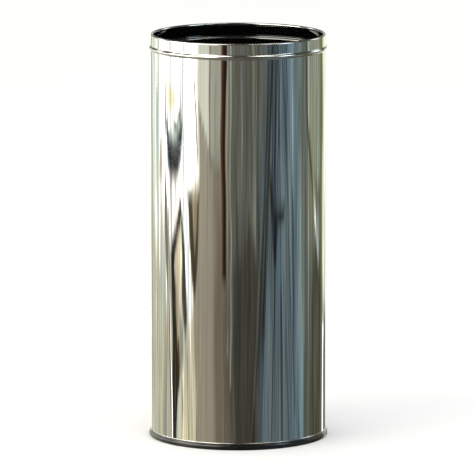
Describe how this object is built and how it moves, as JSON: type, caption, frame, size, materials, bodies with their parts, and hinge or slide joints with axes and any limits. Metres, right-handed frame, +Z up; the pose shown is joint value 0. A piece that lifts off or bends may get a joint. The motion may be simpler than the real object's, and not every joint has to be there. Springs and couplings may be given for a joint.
{
  "type": "umbrella stand",
  "caption": "Tall cylindrical umbrella stand in mirror-polished steel with a rolled rim, a bead below it, a black interior, a black floor ring and a lift-out drip tray.",
  "frame": {"origin": "centre of the circle that the base ring stands on, at floor level", "axes": "+Z up along the axis of the tube, out of its mouth; -Y is the side that faces the room; +X to its right"},
  "size_m": [0.2564, 0.2564, 0.58],
  "materials": {
    "polished_steel": "polished",
    "drawn_wire": "satin",
    "black_lining": "gloss",
    "painted_pan": "satin",
    "ring_plastic": "satin",
    "tray_plastic": "matte"
  },
  "bodies": {
    "stand": {"body_shell": "polished_steel", "rim_wire": "drawn_wire", "inner_lining": "black_lining", "base_pan": "painted_pan", "base_ring": "ring_plastic"},
    "tray": {"drip_tray": "tray_plastic"}
  },
  "joints": [
    {"name": "tray_lift", "type": "slide", "parent": "stand", "child": "tray", "axis": [0, 0, 1], "range_m": [0, 0.6]}
  ]
}
